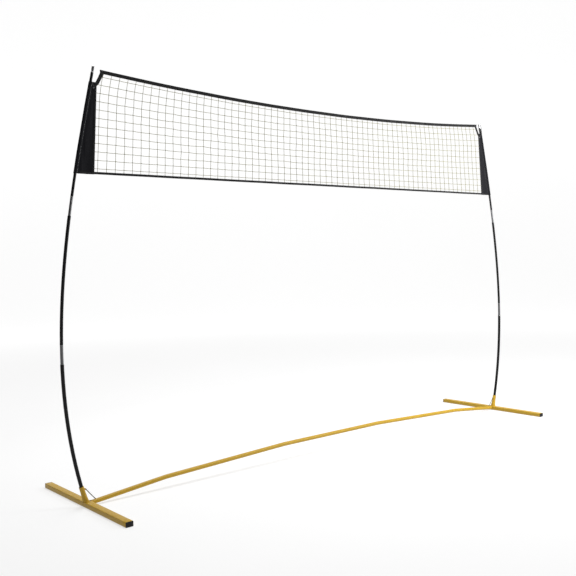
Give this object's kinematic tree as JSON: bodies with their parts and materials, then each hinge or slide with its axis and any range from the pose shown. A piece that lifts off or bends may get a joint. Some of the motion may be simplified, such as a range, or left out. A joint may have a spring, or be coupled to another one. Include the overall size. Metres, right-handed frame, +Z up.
{
  "type": "volleyball net on poles",
  "caption": "Free-standing volleyball net: cord mesh hung between two bowed sectional poles, socketed in a yellow tubular base with two long feet.",
  "frame": {"origin": "on the floor, in the middle of the two feet", "axes": "+X along the net to the right, +Y to the back, +Z up; the poles and the bar stand in the plane y = -0.02"},
  "size_m": [3.8348, 0.946, 2.3191],
  "materials": {
    "yellow_paint": "satin powder coat",
    "black_pole": "smooth black fibreglass",
    "grey_ferrule": "dark grey anodised",
    "tip_metal": "satin",
    "black_plastic": "moulded",
    "stay_steel": "satin",
    "black_fabric": "woven nylon",
    "net_cord": "knotted cord",
    "dark_metal": "blackened",
    "elastic": "braided cover"
  },
  "bodies": {
    "centre": {"centre_bar_tube": "yellow_paint", "netting": "net_cord", "top_tape": "black_fabric", "bottom_tape": "black_fabric"},
    "left_bar": {"left_bar_tube": "yellow_paint"},
    "left_base": {"left_bar_stub": "yellow_paint", "left_foot": "yellow_paint", "left_foot_front_cap": "black_plastic", "left_foot_back_cap": "black_plastic", "left_socket": "yellow_paint", "left_stay_lug": "yellow_paint", "left_stay": "stay_steel"},
    "left_lower": {"left_lower_pole": "black_pole", "left_lower_ferrule": "grey_ferrule", "left_pole_plug": "black_plastic"},
    "left_middle": {"left_middle_pole": "black_pole", "left_upper_ferrule": "grey_ferrule"},
    "left_upper": {"left_upper_pole": "black_pole", "left_pole_tip": "tip_metal", "left_side_panel": "black_fabric", "left_side_tape": "black_fabric", "left_grommet": "dark_metal", "left_elastic_loop": "elastic"},
    "right_bar": {"right_bar_tube": "yellow_paint"},
    "right_base": {"right_bar_stub": "yellow_paint", "right_foot": "yellow_paint", "right_foot_front_cap": "black_plastic", "right_foot_back_cap": "black_plastic", "right_socket": "yellow_paint", "right_stay_lug": "yellow_paint", "right_stay": "stay_steel"},
    "right_lower": {"right_lower_pole": "black_pole", "right_lower_ferrule": "grey_ferrule", "right_pole_plug": "black_plastic"},
    "right_middle": {"right_middle_pole": "black_pole", "right_upper_ferrule": "grey_ferrule"},
    "right_upper": {"right_upper_pole": "black_pole", "right_pole_tip": "tip_metal", "right_side_panel": "black_fabric", "right_side_tape": "black_fabric", "right_grommet": "dark_metal", "right_elastic_loop": "elastic"}
  },
  "joints": [
    {"name": "left_bar_pull", "type": "slide", "parent": "centre", "child": "left_bar", "axis": [-1, 0, 0], "range_m": [0, 0.05]},
    {"name": "left_base_pull", "type": "slide", "parent": "left_bar", "child": "left_base", "axis": [-0.9992, 0, -0.0403], "range_m": [0, 0.05]},
    {"name": "left_pole_lift", "type": "slide", "parent": "left_base", "child": "left_lower", "axis": [-0.2623, 0, 0.965], "range_m": [0, 0.07]},
    {"name": "left_middle_pull", "type": "slide", "parent": "left_lower", "child": "left_middle", "axis": [0.0296, 0, 0.9996], "range_m": [0, 0.05]},
    {"name": "left_upper_pull", "type": "slide", "parent": "left_middle", "child": "left_upper", "axis": [0.1834, 0, 0.983], "range_m": [0, 0.05]},
    {"name": "right_bar_pull", "type": "slide", "parent": "centre", "child": "right_bar", "axis": [1, 0, 0], "range_m": [0, 0.05]},
    {"name": "right_base_pull", "type": "slide", "parent": "right_bar", "child": "right_base", "axis": [0.9992, 0, -0.0403], "range_m": [0, 0.05]},
    {"name": "right_pole_lift", "type": "slide", "parent": "right_base", "child": "right_lower", "axis": [0.2623, 0, 0.965], "range_m": [0, 0.07]},
    {"name": "right_middle_pull", "type": "slide", "parent": "right_lower", "child": "right_middle", "axis": [-0.0296, 0, 0.9996], "range_m": [0, 0.05]},
    {"name": "right_upper_pull", "type": "slide", "parent": "right_middle", "child": "right_upper", "axis": [-0.1834, 0, 0.983], "range_m": [0, 0.05]}
  ]
}
